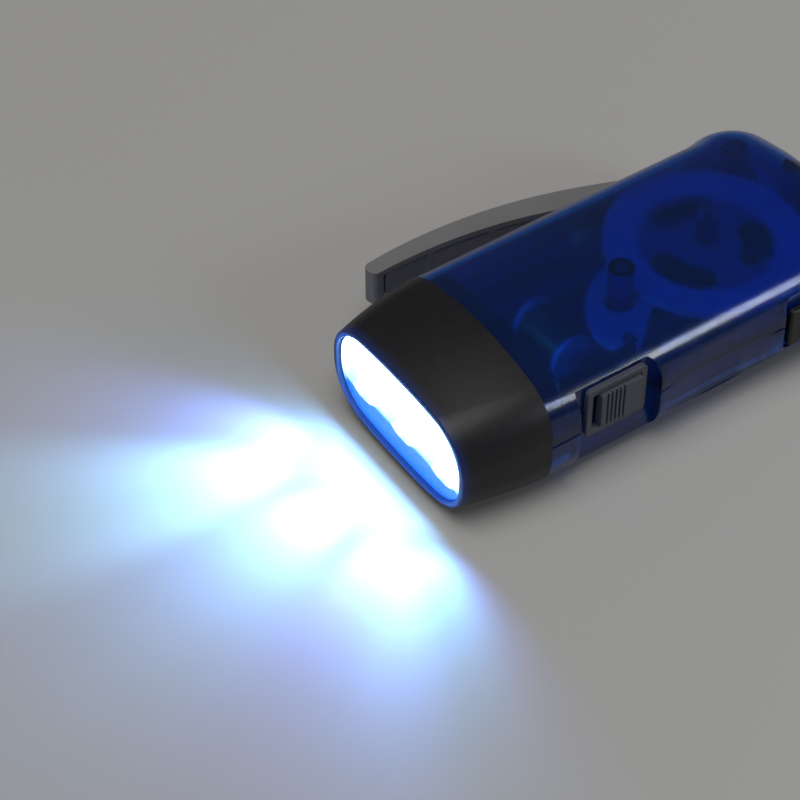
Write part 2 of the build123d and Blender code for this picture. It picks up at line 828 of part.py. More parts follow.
def make_lever_spring():
    """Torsion spring round the lower hinge boss, one leg on the housing, one on the lever."""
    step = 45
    count = round(360 / step * spring_turns)
    points = []
    for i in range(count + 1):
        x, y = polar(hinge, spring_mean_r, 270 + step * i)
        points.append(Vector(x, y, spring_low + spring_pitch * i * step / 360))
    turns = [ThreePointArc(*points[i:i + 3]) for i in range(0, count, 2)]
    lower = Line(points[0] - (turns[0] % 0) * spring_leg, points[0])
    upper = Line(points[-1], points[-1] + (turns[-1] % 1) * spring_leg)
    path = Wire([lower] + turns + [upper])
    profile = Plane(origin=lower @ 0, z_dir=lower % 0) * Circle(spring_wire_r)
    per_turn = round(360 / step)
    least = min((points[i + per_turn] - points[i]).length for i in range(count + 1 - per_turn))
    print(f"lever spring, least gap between turns: {least - 2 * spring_wire_r:.2f} mm")
    return sweep(profile, path=path)


# ---------- gears ----------
def make_clutch_pinion():
    drive_phase = mesh_phase(pinion_teeth, heading(shaft_a, hinge))
    outline = gear_outline(shaft_a, pinion_teeth, drive_module, tooth_shift, drive_phase)
    pinion = plate(outline, drive_low - layer_gap / 2, drive_low + drive_t + layer_gap)
    top = gear_low + ratchet_gear_t
    floor = gear_low + ratchet_web + layer_gap
    pinion += disc(shaft_a, clutch_hub_r, floor, drive_low)
    pinion += disc(shaft_a, pawl_hub_r, floor, top)
    for turn in (0, 180):
        pinion += plate(pawl_outline(turn), floor, top)
    return pinion - disc(shaft_a, shaft_r + run_fit, 0, body_t)


def pawl_outline(turn):
    """Springy arm whose tip lies against one step of the ratchet ring."""
    step = 360 / ratchet_tooth_count
    face = 3 * step
    root_r, inner_r = pawl_hub_r - layer_gap, pawl_out_r - pawl_t
    arm = [(pawl_out_r, angle) for angle in range(0, round(face), 10)]
    tip = [(pawl_out_r, face - 2), (pawl_tip_r, face + 2), (pawl_tip_r - pawl_gap, face + 5),
           (inner_r + pawl_t / 2, face + 9)]
    back = [(inner_r, angle) for angle in range(round(face), 10, -10)]
    points = [(root_r, -6)] + arm + tip + back + [(root_r, 18)]
    return polygon([polar(shaft_a, radius, turn + angle) for radius, angle in points])


def make_ratchet_gear():
    phase = heading(shaft_a, shaft_b)
    outline = gear_outline(shaft_a, ratchet_gear_teeth, fine_module, -tooth_shift, phase)
    gear = plate(outline, gear_low, gear_low + ratchet_gear_t)
    step = 360 / ratchet_tooth_count
    points = []
    for i in range(ratchet_tooth_count):
        points += [(ratchet_in_r, i * step), (ratchet_out_r, i * step)]
    ring = polygon([polar(shaft_a, radius, angle) for radius, angle in points])
    gear -= plate(ring, gear_low + ratchet_web, gear_low + ratchet_gear_t + 1)
    return gear - disc(shaft_a, shaft_r + run_fit, 0, body_t)


def make_step_gear():
    small = gear_outline(shaft_b, pinion_teeth, fine_module, tooth_shift,
                         mesh_phase(pinion_teeth, heading(shaft_b, shaft_a)))
    large = gear_outline(shaft_b, step_gear_teeth, fine_module, -tooth_shift,
                         heading(shaft_b, flywheel_xy))
    gear = plate(small, gear_low - layer_gap, step_gear_low)
    gear += plate(large, step_gear_low, step_gear_low + step_gear_t)
    for i in range(step_hole_count):
        hole_at = polar(shaft_b, step_hole_at, 360 * i / step_hole_count)
        gear -= disc(hole_at, step_hole_r, step_gear_low, step_gear_low + step_gear_t + 1)
    return gear - disc(shaft_b, shaft_r + run_fit, 0, body_t)


def make_flywheel():
    top = flywheel_low + flywheel_t
    wheel = disc(flywheel_xy, flywheel_r, flywheel_low, top)
    wheel -= tube(flywheel_xy, flywheel_rim_in, hub_r, flywheel_low + flywheel_web_t, top + 1)
    for groove_r in flywheel_groove_r:
        wheel -= tube(flywheel_xy, groove_r + flywheel_groove_w / 2, groove_r - flywheel_groove_w / 2,
                      top - flywheel_groove_depth, top + 1)
    for i in range(window_count):
        wheel -= plate(window_outline(window_turn + 360 * i / window_count), flywheel_low - 1, top + 1)
    pinion = gear_outline(flywheel_xy, pinion_teeth, fine_module, tooth_shift,
                          mesh_phase(pinion_teeth, heading(flywheel_xy, shaft_b)))
    wheel += disc(flywheel_xy, hub_r, magnet_high, top + hub_step)
    wheel += disc(flywheel_xy, sleeve_r, step_gear_low, magnet_high)
    wheel += plate(pinion, step_gear_low - layer_gap, step_gear_low + step_gear_t + layer_gap)
    return wheel - disc(flywheel_xy, shaft_r + run_fit, 0, body_t)


def window_outline(turn):
    """Kidney window between two spokes of the flywheel."""
    reach = window_span / 2 - math.degrees(window_w / 2 / window_mid_r)
    inner, outer = window_mid_r - window_w / 2, window_mid_r + window_w / 2
    ends = [polar(flywheel_xy, window_mid_r, turn - reach), polar(flywheel_xy, window_mid_r, turn + reach)]
    return make_face([
        CenterArc(flywheel_xy, outer, turn - reach, 2 * reach),
        CenterArc(ends[1], window_w / 2, turn + reach, 180),
        CenterArc(flywheel_xy, inner, turn + reach, -2 * reach),
        CenterArc(ends[0], window_w / 2, turn - reach + 180, 180),
    ])


def make_ring_magnet():
    return tube(flywheel_xy, magnet_r, sleeve_r + push_fit, magnet_low, magnet_high)


# ---------- generator ----------
def core_arm_y():
    return coil_len / 2 + flange_t + core_arm_w / 2


def make_stator_core():
    """Two pole arcs round the magnet, joined by arms and by the bar through the coil."""
    inner = magnet_r + pole_gap
    outer = inner + pole_t
    arm_rear, bar_front = flywheel_x + magnet_r, coil_x + core_arm_w / 2
    core = Sketch()
    for side in (-1, 1):
        low, high = sorted((side * pole_from, side * pole_to))
        arc = make_face([
            CenterArc(flywheel_xy, outer, low, high - low),
            Line(polar(flywheel_xy, outer, high), polar(flywheel_xy, inner, high)),
            CenterArc(flywheel_xy, inner, high, low - high),
            Line(polar(flywheel_xy, inner, low), polar(flywheel_xy, outer, low)),
        ])
        place = Pos((arm_rear + bar_front) / 2, side * core_arm_y())
        arm = place * Rectangle(bar_front - arm_rear, core_arm_w)
        arm -= Pos(*flywheel_xy) * Circle((inner + outer) / 2)
        core += arc + arm
    core += Pos(coil_x, 0) * Rectangle(core_arm_w, 2 * core_arm_y())
    return plate(core, core_low, core_low + core_t)


def across(radius, low, high):
    """Round bar along Y through the coil's centre."""
    middle_z = core_low + core_t / 2
    return Pos(coil_x, (low + high) / 2, middle_z) * Rot(90, 0, 0) * Cylinder(radius, high - low)


def core_hole():
    half = core_arm_w / 2 + core_fit
    return block((coil_x - half, coil_x + half), (-coil_len, coil_len),
                 (core_low - core_fit, core_low + core_t + core_fit))


def make_coil_bobbin():
    half = coil_len / 2
    bobbin = across(bobbin_r, -half, half)
    for side in (-1, 1):
        low, high = sorted((side * half, side * (half + flange_t - core_fit)))
        bobbin += across(coil_r + flange_over, low, high)
    return bobbin - core_hole()


def make_coil_winding():
    half = coil_len / 2
    return across(coil_r, -half, half) - across(bobbin_r, -half - 1, half + 1)


def make_gear_frame():
    """White plate over the gears; its tail shows in front of the flywheel."""
    tail = make_face([
        ThreePointArc((-8.0, -7.6), (2.6, -4.6), (10.0, 4.6)),
        ThreePointArc((10.0, 4.6), (9.9, 10.8), (5.2, 14.2)),
        Line((5.2, 14.2), (-4.2, 6.8)),
        Line((-4.2, 6.8), (-8.4, 8.0)),
        Line((-8.4, 8.0), (-8.0, -7.6)),
    ])
    outline = Pos(*flywheel_xy) * (Circle(plate_out_r) - Circle(plate_in_r)) + tail
    lug_len = (plate_in_r + plate_out_r) / 2 - shaft_b[1]
    outline += Pos(shaft_b[0], shaft_b[1] + lug_len / 2) * Rectangle(2 * shaft_pad_r, lug_len)
    for at in (shaft_a, shaft_b):
        outline += Pos(*at) * Circle(shaft_pad_r)
    for at in frame_screws_at:
        outline += Pos(*at) * Circle(frame_post_r + plate_margin)
    frame = plate(outline, plate_low, plate_top)
    frame -= disc(shell_screws_at[0], screw_boss_r + plate_margin, 0, body_t)
    for at in (shaft_a, shaft_b):
        frame -= disc(at, shaft_r + push_fit, 0, body_t)
    for at in frame_screws_at:
        frame -= disc(at, frame_screw_r + push_fit, 0, body_t)
        frame -= disc(at, frame_head_r + push_fit, plate_top - frame_head_t, body_t)
    return frame


# ---------- switch and lock ----------
def button_span():
    """Front and rear ends of the button, pushed to the rear where the lamp is on."""
    rear = frame_rear + frame_rim + button_gap
    return (rear + button_len, rear)


def button_middle():
    return sum(button_span()) / 2


def button_heights(grow=0.0):
    return (frame_bottom + button_low_rim - grow, frame_top - button_high_rim + grow)


def stem_heights(grow=0.0):
    return (switch_z - stem_h / 2 - grow, switch_z + stem_h / 2 + grow)


def make_switch_frame():
    rim_block = block((frame_rear, frame_front), (pocket_floor, pocket_floor + frame_t),
                      (frame_bottom, frame_top))
    rim_block = fillet(rim_block.edges().filter_by(Axis.Y), frame_corner)
    return rim_block - block((frame_rear + frame_rim, frame_front - frame_rim),
                             (pocket_floor - 1, half_w + 2), button_heights(button_gap))


def make_switch_button():
    front, rear = button_span()
    face = pocket_floor + frame_t + button_proud
    button = block((rear, front), (pocket_floor + button_gap, face), button_heights())
    button = fillet(button.edges().filter_by(Axis.Y), button_round)
    for i in range(groove_count):
        x = front - groove_start - i * groove_pitch
        button -= block((x - groove_w / 2, x + groove_w / 2), (face - groove_depth, face + 1), (0, body_t))
    middle = button_middle()
    stem_end = switch_face() + 2 * button_gap
    stem = block((middle - stem_len / 2, middle + stem_len / 2), (stem_end, pocket_floor + 2 * button_gap),
                 stem_heights())
    notch = nub_len / 2 + layer_gap / 2
    stem -= block((middle - notch, middle + notch), (0, switch_face() + nub_out + layer_gap), (0, body_t))
    return button + stem


def switch_face():
    """Outer face of the slide switch on its board."""
    return board_y + board_t + switch_can_t


def make_slide_switch():
    middle = button_middle()
    reach = nub_len + switch_can_end
    half_h = nub_h / 2 + switch_can_side
    can = block((middle - reach, middle + reach + switch_travel), (board_y + board_t, switch_face()),
                (switch_z - half_h, switch_z + half_h))
    play = nub_len / 2 + layer_gap
    slot = block((middle - play, middle + switch_travel + play), (board_y + board_t + nub_floor, half_w),
                 (switch_z - nub_h / 2 - layer_gap, switch_z + nub_h / 2 + layer_gap))
    return can - slot


def make_switch_nub():
    middle = button_middle()
    return block((middle - nub_len / 2, middle + nub_len / 2),
                 (board_y + board_t + nub_floor + layer_gap, switch_face() + nub_out),
                 (switch_z - nub_h / 2, switch_z + nub_h / 2))


def make_circuit_board():
    return block((pocket_rear + 1, pocket_front), (board_y, board_y + board_t), (board_low, board_high))


def make_lock_slider():
    rear = lock_front - lock_len
    face = half_w + lock_proud
    pad = block((rear, lock_front), (lock_floor + lock_pad_gap, face), (lock_low, lock_low + lock_h))
    pad = fillet(pad.edges().filter_by(Axis.Y), lock_round)
    pad = chamfer(pad.faces().sort_by(Axis.Y)[-1].edges(), lock_round / 3)
    for i in range(lock_rib_count):
        z = lock_low + lock_h / 2 + (i - (lock_rib_count - 1) / 2) * lock_rib_pitch
        pad -= block((rear + lock_rib_in, lock_front - lock_rib_in), (face - lock_rib_depth, face + 1),
                     (z - lock_rib_w / 2, z + lock_rib_w / 2))
    neck = block(neck_span(), (lock_bar_in, lock_floor + 2 * lock_pad_gap), neck_heights())
    peg_x = peg_at()[0]
    low = neck_heights()[0]
    bar = block((peg_x - lock_peg_w / 2, neck_span()[1]), (lock_bar_in, lock_bar_out),
                (low, low + lock_bar_h))
    peg = block((peg_x - lock_peg_w / 2, peg_x + lock_peg_w / 2), (lock_peg_in, lock_bar_out),
                (low, low + lock_bar_h))
    return pad + neck + bar + peg


def peg_at():
    """Middle of the gap between the horn's open and closed places, near its tip."""
    return polar(hinge, horn_tip_r - 1, horn_angle + squeeze_range / 2)


# ---------- power ----------
def cell_end_y():
    return cell_low_y + cell_count * cell_t


def along_y(x, z, radius, low, high):
    return Pos(x, (low + high) / 2, z) * Rot(90, 0, 0) * Cylinder(radius, high - low)


def make_battery_cells():
    cells = []
    for i in range(cell_count):
        low, high = cell_low_y + i * cell_t, cell_low_y + (i + 1) * cell_t
        cell = along_y(cell_x, cell_z, cell_r, low + cell_gap, high - cell_cap)
        cell += along_y(cell_x, cell_z, cell_cap_r, high - cell_cap, high - cell_gap)
        cells.append(one(cell))
    return Compound(children=cells)


def make_battery_holder():
    """Open tray with a half-round bed for the stack of cells."""
    half = cell_r + holder_wall
    low_y, high_y = cell_low_y - holder_end, cell_end_y() + holder_end
    tray = block((cell_x - half, cell_x + half), (low_y - holder_wall, high_y + holder_wall),
                 (cell_z - half, cell_z + holder_rise))
    tray -= along_y(cell_x, cell_z, cell_r + cell_gap, low_y, high_y)
    tray -= block((cell_x - cell_r - cell_gap, cell_x + cell_r + cell_gap), (low_y, high_y),
                  (cell_z, body_t))
    return tray


def make_battery_contacts():
    """A strip between each end of the stack and the wall of its tray."""
    strips = []
    for middle in (cell_low_y - holder_end / 2, cell_end_y() + holder_end / 2):
        strips.append(one(block((cell_x - contact_w / 2, cell_x + contact_w / 2),
                                (middle - contact_t / 2, middle + contact_t / 2),
                                (cell_z - contact_w / 2, cell_z + contact_w / 2))))
    return Compound(children=strips)


# ---------- screws and pins ----------
def make_shell_screws():
    screws = []
    for x, y in shell_screws_at:
        screw = disc((x, y), screw_r, screw_head_low, screw_top)
        screw += disc((x, y), screw_head_r, screw_head_low, screw_head_low + screw_head_t)
        slot = (0, screw_head_low + cross_depth)
        screw -= block((x - cross_len / 2, x + cross_len / 2), (y - cross_w / 2, y + cross_w / 2), slot)
        screw -= block((x - cross_w / 2, x + cross_w / 2), (y - cross_len / 2, y + cross_len / 2), slot)
        screws.append(one(screw))
    return Compound(children=screws)


def make_frame_screws():
    screws = []
    for at in frame_screws_at:
        screw = disc(at, frame_screw_r, plate_low - frame_screw_len, plate_top)
        screw += disc(at, frame_head_r, plate_top - frame_head_t, plate_top)
        screws.append(one(screw))
    return Compound(children=screws)


def save(node, shape):
    shape.label = node
    export_step(shape, f"parts/{node}.step")


shell = hollow_shell()
save("top_shell", make_top_shell(shell))
save("bottom_shell", make_bottom_shell(shell))
save("bezel", make_bezel())
save("lens", make_lens())
save("reflector", make_reflector())
save("leds", make_leds())
save("led_board", make_led_board())
save("lever", make_lever())
save("lever_pin", disc(hinge, pin_r, pin_low, pin_high))
save("lever_spring", make_lever_spring())
save("clutch_pinion", make_clutch_pinion())
save("ratchet_gear", make_ratchet_gear())
save("step_gear", make_step_gear())
save("flywheel", make_flywheel())
save("ring_magnet", make_ring_magnet())
save("gear_shaft_rear", disc(shaft_a, shaft_r, shaft_low, plate_top))
save("gear_shaft_side", disc(shaft_b, shaft_r, shaft_low, plate_top))
save("flywheel_shaft", disc(flywheel_xy, shaft_r, shaft_low, pin_high))
save("stator_core", make_stator_core())
save("coil_bobbin", make_coil_bobbin())
save("coil_winding", make_coil_winding())
save("gear_frame", make_gear_frame())
save("switch_frame", make_switch_frame())
save("switch_button", make_switch_button())
save("slide_switch", make_slide_switch())
save("switch_nub", make_switch_nub())
save("circuit_board", make_circuit_board())
save("lock_slider", make_lock_slider())
save("battery_cells", make_battery_cells())
save("battery_holder", make_battery_holder())
save("battery_contacts", make_battery_contacts())
save("shell_screws", make_shell_screws())
save("frame_screws", make_frame_screws())
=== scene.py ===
import json
import math

import bpy
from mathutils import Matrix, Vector


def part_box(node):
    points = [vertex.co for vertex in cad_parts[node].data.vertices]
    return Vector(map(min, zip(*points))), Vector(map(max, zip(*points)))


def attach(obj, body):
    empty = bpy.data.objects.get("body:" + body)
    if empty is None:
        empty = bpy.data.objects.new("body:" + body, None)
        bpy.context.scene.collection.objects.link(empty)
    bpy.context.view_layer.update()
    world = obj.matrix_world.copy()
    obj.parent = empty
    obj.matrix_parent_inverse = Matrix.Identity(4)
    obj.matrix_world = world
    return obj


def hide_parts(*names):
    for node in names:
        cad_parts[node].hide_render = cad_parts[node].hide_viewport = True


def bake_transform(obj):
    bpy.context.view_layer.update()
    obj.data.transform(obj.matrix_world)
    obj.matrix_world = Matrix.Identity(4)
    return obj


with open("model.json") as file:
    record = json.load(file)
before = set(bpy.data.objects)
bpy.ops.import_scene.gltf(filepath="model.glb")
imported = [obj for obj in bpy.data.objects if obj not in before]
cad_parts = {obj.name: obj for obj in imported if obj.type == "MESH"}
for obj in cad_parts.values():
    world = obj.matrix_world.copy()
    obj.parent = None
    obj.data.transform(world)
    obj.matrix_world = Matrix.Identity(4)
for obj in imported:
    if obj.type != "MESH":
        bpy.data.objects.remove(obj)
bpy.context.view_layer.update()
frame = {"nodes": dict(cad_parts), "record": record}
mm = 0.001  # sizes below are in millimetres


# ---- working by hand: selecting, shaping and finishing a piece ----
meshLook = {"merge": 0.001, "flat": 0.6, "sharp": 30, "corner": 35, "bevelSteps": 2}


def deselectAll():
    if bpy.context.object and bpy.context.object.mode != "OBJECT":
        bpy.ops.object.mode_set(mode="OBJECT")
    bpy.ops.object.select_all(action="DESELECT")


def pick(piece):
    deselectAll()
    piece.select_set(True)
    bpy.context.view_layer.objects.active = piece


def editAll():
    bpy.ops.object.mode_set(mode="EDIT")
    bpy.ops.mesh.select_all(action="SELECT")


def editDone():
    bpy.ops.object.mode_set(mode="OBJECT")


def applyTransform():
    bpy.ops.object.transform_apply(location=True, rotation=True, scale=True)


def smoothed(piece, sharp=meshLook["sharp"]):
    bpy.ops.object.shade_smooth_by_angle(angle=math.radians(sharp))
    even = piece.modifiers.new("Even", "WEIGHTED_NORMAL")
    even.keep_sharp = True
    bpy.ops.object.modifier_apply(modifier=even.name)
    return piece


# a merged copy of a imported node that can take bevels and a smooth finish
def tidied(node, sharp=meshLook["sharp"], dissolve=False):
    piece = bpy.data.objects.new(node + "Skin", frame["nodes"][node].data.copy())
    bpy.context.scene.collection.objects.link(piece)
    pick(piece)
    editAll()
    bpy.ops.mesh.remove_doubles(threshold=meshLook["merge"] * mm)
    if dissolve:
        bpy.ops.mesh.dissolve_limited(angle_limit=math.radians(meshLook["flat"]))
    editDone()
    bpy.ops.mesh.customdata_custom_splitnormals_clear()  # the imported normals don't fit the merged mesh
    return smoothed(piece, sharp)


def bevelled(piece, width):
    pick(piece)
    bevel = piece.modifiers.new("Edges", "BEVEL")
    bevel.width = width * mm
    bevel.segments = meshLook["bevelSteps"]
    bevel.limit_method = "ANGLE"
    bevel.angle_limit = math.radians(meshLook["corner"])
    bevel.use_clamp_overlap = True
    bpy.ops.object.modifier_apply(modifier=bevel.name)
    return smoothed(piece)


# names a finished piece, dresses it and puts it on its body
def settle(piece, name, material, body, slot, *nodes):
    pick(piece)
    applyTransform()
    piece.name = name
    piece.data.materials.clear()
    piece.data.materials.append(material)
    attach(piece, body)
    if nodes:
        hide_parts(*nodes)
    return piece


# ---- finishes: a shader value that takes ordinary sums, and a material that holds its nodes ----
class Flow:
    def __init__(self, finish, socket):
        self.finish = finish
        self.socket = socket

    def __add__(self, other):
        return self.finish.sum("ADD", self, other)

    def __radd__(self, other):
        return self.finish.sum("ADD", other, self)

    def __sub__(self, other):
        return self.finish.sum("SUBTRACT", self, other)

    def __rsub__(self, other):
        return self.finish.sum("SUBTRACT", other, self)

    def __mul__(self, other):
        return self.finish.sum("MULTIPLY", self, other)

    def __rmul__(self, other):
        return self.finish.sum("MULTIPLY", other, self)

    def __truediv__(self, other):
        return self.finish.sum("DIVIDE", self, other)

    def __pow__(self, other):
        return self.finish.sum("POWER", self, other)


class Finish:
    def __init__(self, name, **fixed):
        self.material = bpy.data.materials.new(name)
        self.material.use_nodes = True
        self.tree = self.material.node_tree
        self.shader = self.tree.nodes["Principled BSDF"]
        for key, value in fixed.items():
            self.set(key.replace("_", " "), value)

    def add(self, kind, settings=None, inputs=None, output=0):
        node = self.tree.nodes.new(kind)
        for key, value in (settings or {}).items():
            setattr(node, key, value)
        for key, value in (inputs or {}).items():
            if isinstance(value, Flow):
                self.tree.links.new(value.socket, node.inputs[key])
            else:
                node.inputs[key].default_value = value
        return Flow(self, node.outputs[output])

    def set(self, key, value):
        if isinstance(value, Flow):
            self.tree.links.new(value.socket, self.shader.inputs[key])
        else:
            self.shader.inputs[key].default_value = (*value, 1) if isinstance(value, tuple) else value

    def sum(self, operation, first, second):
        return self.add("ShaderNodeMath", {"operation": operation}, {0: first, 1: second})

    def place(self):
        return self.add("ShaderNodeTexCoord", output=3)

    # the place's x, y or z: axis 0, 1 or 2
    def along(self, axis):
        return self.add("ShaderNodeSeparateXYZ", None, {0: self.place()}, output=axis)

    # soft noise whose patches are about size millimetres across
    def noise(self, size, detail=3.0):
        return self.add("ShaderNodeTexNoise", None,
                        {"Vector": self.place(), "Scale": 1 / (size * mm), "Detail": detail, "Roughness": 0.5})

    def ranged(self, value, start, end, low=0.0, high=1.0):
        return self.add("ShaderNodeMapRange", {"clamp": True}, {0: value, 1: start, 2: end, 3: low, 4: high})

    # spreads the middle half of a noise from low to high
    def between(self, value, low, high):
        return self.ranged(value, 0.25, 0.75, low, high)

    def shades(self, value, dark, light):
        return self.add("ShaderNodeMix", {"data_type": "RGBA"},
                        {"Factor": value, 6: (*dark, 1), 7: (*light, 1)}, output=2)

    # bump of the given depth in millimetres
    def relief(self, height, depth):
        self.set("Normal", self.add("ShaderNodeBump", None,
                                    {"Strength": 1.0, "Distance": depth * mm, "Height": height}))


mouldedLook = {"dark": 0.9, "light": 1.1, "patch": 9.0, "gloss": 2.5, "rough": (0.4, 0.47), "depth": 0.006}
metalLook = {"dark": 0.85, "stain": 4, "grain": 0.4, "depth": 0.003}
plasticLook = {"dark": 0.88, "patch": 3.0, "gloss": 1.5, "spread": 0.08, "grain": 0.6, "depth": 0.004}
shellLook = {
    "deep": (0.002, 0.105, 0.56), "pale": (0.004, 0.145, 0.66), "patch": 14.0,
    "rough": (0.12, 0.2), "gloss": 5.0,
    "wave": 0.006, "waveSize": 7.0,
}
lensLook = {"tint": (0.93, 0.97, 1.0), "rough": (0.0, 0.04), "patch": 6.0}
# core is the lamps' own light; core and rim are also painted on the reflector as glow, with the rim's blue on
# its lower face
lampLook = {"clear": (0.8, 0.9, 1.0), "core": (0.55, 0.95, 1.0), "rim": (0.004, 0.03, 0.24), "strength": 8.0}
# painted lamp light on the reflector: strength, lip and lift set where and how brightly the plating glows
reflectorLook = {
    "plating": (0.8, 0.86, 0.92), "rough": (0.08, 0.2), "patch": 3.0, "strength": 3.0,
    "lip": (0.3, 3.0),  # how far behind the front face the glow starts, and where it is full
    "lift": (8, 15),  # the heights between which the front face lights up
}
bezelLook = {
    "colour": (0.0085, 0.0085, 0.0100), "grain": 0.3,
    # painted glow of the lamp's blue light on the front edge and on the mouth's inner wall
    "glow": (0.001, 0.010, 0.075), "reach": 2.6,
    "wall": (0.01, 0.07, 0.42), "wallEnds": (0.98, 0.9),
    "mouth": {"halfWide": 21.0, "halfHigh": 11.4, "z": 13.8, "squareness": 3.3},
}
flywheelLook = {
    # the hub colour is a painted shade for the wheel's recessed middle
    "rim": (0.8, 0.82, 0.84), "hub": (0.34, 0.36, 0.42), "step": (12.5, 14.5),
    "rough": (0.32, 0.44), "gloss": 1.5, "grain": 0.6, "depth": 0.004,
}


# fine-textured moulded plastic with faint flow shades
def mouldedPlastic(name, colour, grain):
    finish = Finish(name, IOR=1.48, Specular_IOR_Level=0.36)
    dark = tuple(c * mouldedLook["dark"] for c in colour)
    light = tuple(c * mouldedLook["light"] for c in colour)
    finish.set("Base Color", finish.shades(finish.noise(mouldedLook["patch"]), dark, light))
    finish.set("Roughness", finish.between(finish.noise(mouldedLook["gloss"]), *mouldedLook["rough"]))
    finish.relief(finish.noise(grain, detail=2.0), mouldedLook["depth"])
    return finish


def metal(name, colour, rough=(0.22, 0.36), size=0.8):
    finish = Finish(name, Metallic=1.0)
    dark = tuple(c * metalLook["dark"] for c in colour)
    finish.set("Base Color", finish.shades(finish.noise(size * metalLook["stain"]), dark, colour))
    finish.set("Roughness", finish.between(finish.noise(size), *rough))
    finish.relief(finish.noise(size * metalLook["grain"]), metalLook["depth"])
    return finish.material


def plainPlastic(name, colour, rough=0.4):
    finish = Finish(name, IOR=1.48)
    dark = tuple(c * plasticLook["dark"] for c in colour)
    spread = plasticLook["spread"]
    finish.set("Base Color", finish.shades(finish.noise(plasticLook["patch"]), dark, colour))
    finish.set("Roughness", finish.between(finish.noise(plasticLook["gloss"]), rough - spread, rough + spread))
    finish.relief(finish.noise(plasticLook["grain"]), plasticLook["depth"])
    return finish.material


def blueShell():
    finish = Finish("blueShell", IOR=1.47, Transmission_Weight=0.95, Specular_IOR_Level=0.1)
    shade = finish.noise(shellLook["patch"], detail=2.0)
    finish.set("Base Color", finish.shades(shade, shellLook["deep"], shellLook["pale"]))
    finish.set("Roughness", finish.between(finish.noise(shellLook["gloss"], detail=6.0), *shellLook["rough"]))
    finish.relief(finish.noise(shellLook["waveSize"], detail=1.0), shellLook["wave"])
    return finish.material


def clearLens():
    finish = Finish("clearLens", Transmission_Weight=1.0, IOR=1.49)
    finish.set("Base Color", lensLook["tint"])
    finish.set("Roughness", finish.between(finish.noise(lensLook["patch"], detail=6.0), *lensLook["rough"]))
    return finish.material


# a clear epoxy lamp, lit through and through
def lampBody():
    finish = Finish("lampBody", Roughness=0.1, Emission_Strength=lampLook["strength"])
    finish.set("Base Color", lampLook["clear"])
    finish.set("Emission Color", lampLook["core"])
    return finish.material


# bright plating with the lamps' light painted on as glow: the cups and the upper face glow pale, and the lower
# face glows blue
def reflectorPaintedGlow():
    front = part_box("reflector")[1].x
    finish = Finish("reflectorPaintedGlow", Metallic=1.0, Emission_Strength=reflectorLook["strength"])
    finish.set("Base Color", reflectorLook["plating"])
    finish.set("Roughness", finish.between(finish.noise(reflectorLook["patch"]), *reflectorLook["rough"]))
    lipStart, lipEnd = reflectorLook["lip"]
    liftStart, liftEnd = reflectorLook["lift"]
    deep = finish.ranged(finish.along(0), front - lipStart * mm, front - lipEnd * mm)
    lifted = finish.ranged(finish.along(2), liftStart * mm, liftEnd * mm)
    lit = finish.sum("MAXIMUM", deep, lifted)
    # painted glow standing in for the lamps' light on the plating
    finish.set("Emission Color", finish.shades(lit, lampLook["rim"], lampLook["core"]))
    return finish.material


# the dark sleeve, with the lamp's blue light painted on as glow on its front edge and on the mouth's inner
# wall
def bezelGreyPaintedGlow():
    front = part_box("bezel")[1].x
    mouth = bezelLook["mouth"]
    finish = mouldedPlastic("bezelGreyPaintedGlow", bezelLook["colour"], bezelLook["grain"])
    near = finish.ranged(finish.along(0), front - bezelLook["reach"] * mm, front)
    across = finish.sum("ABSOLUTE", finish.along(1), 0) / (mouth["halfWide"] * mm)
    up = finish.sum("ABSOLUTE", finish.along(2) - mouth["z"] * mm, 0) / (mouth["halfHigh"] * mm)
    outside = across ** mouth["squareness"] + up ** mouth["squareness"]  # 1 along the middle of the rim
    wall = finish.ranged(outside, *bezelLook["wallEnds"])
    glow = finish.shades(near ** 2, (0, 0, 0), bezelLook["glow"])
    inner = finish.add("ShaderNodeMix", {"data_type": "RGBA"},
                       {"Factor": wall * near, 6: glow, 7: (*bezelLook["wall"], 1)}, output=2)
    # painted glow standing in for the lamp's light on the sleeve
    finish.set("Emission Color", inner)
    finish.set("Emission Strength", 1.0)
    return finish.material


# pale rim, and a painted shade on the hub inside it, where the wheel's middle sits lower than the rim
def flywheelGrey():
    finish = Finish("flywheelGrey", IOR=1.48)
    middle = [(a + b) / 2 for a, b in zip(*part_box("flywheel"))]
    x = finish.along(0) - middle[0]
    y = finish.along(1) - middle[1]
    stepStart, stepEnd = flywheelLook["step"]
    rim = finish.ranged((x * x + y * y) ** 0.5, stepStart * mm, stepEnd * mm)
    # painted shade: the hub inside the step is darker than the rim
    finish.set("Base Color", finish.shades(rim, flywheelLook["hub"], flywheelLook["rim"]))
    finish.set("Roughness", finish.between(finish.noise(flywheelLook["gloss"]), *flywheelLook["rough"]))
    finish.relief(finish.noise(flywheelLook["grain"]), flywheelLook["depth"])
    return finish.material


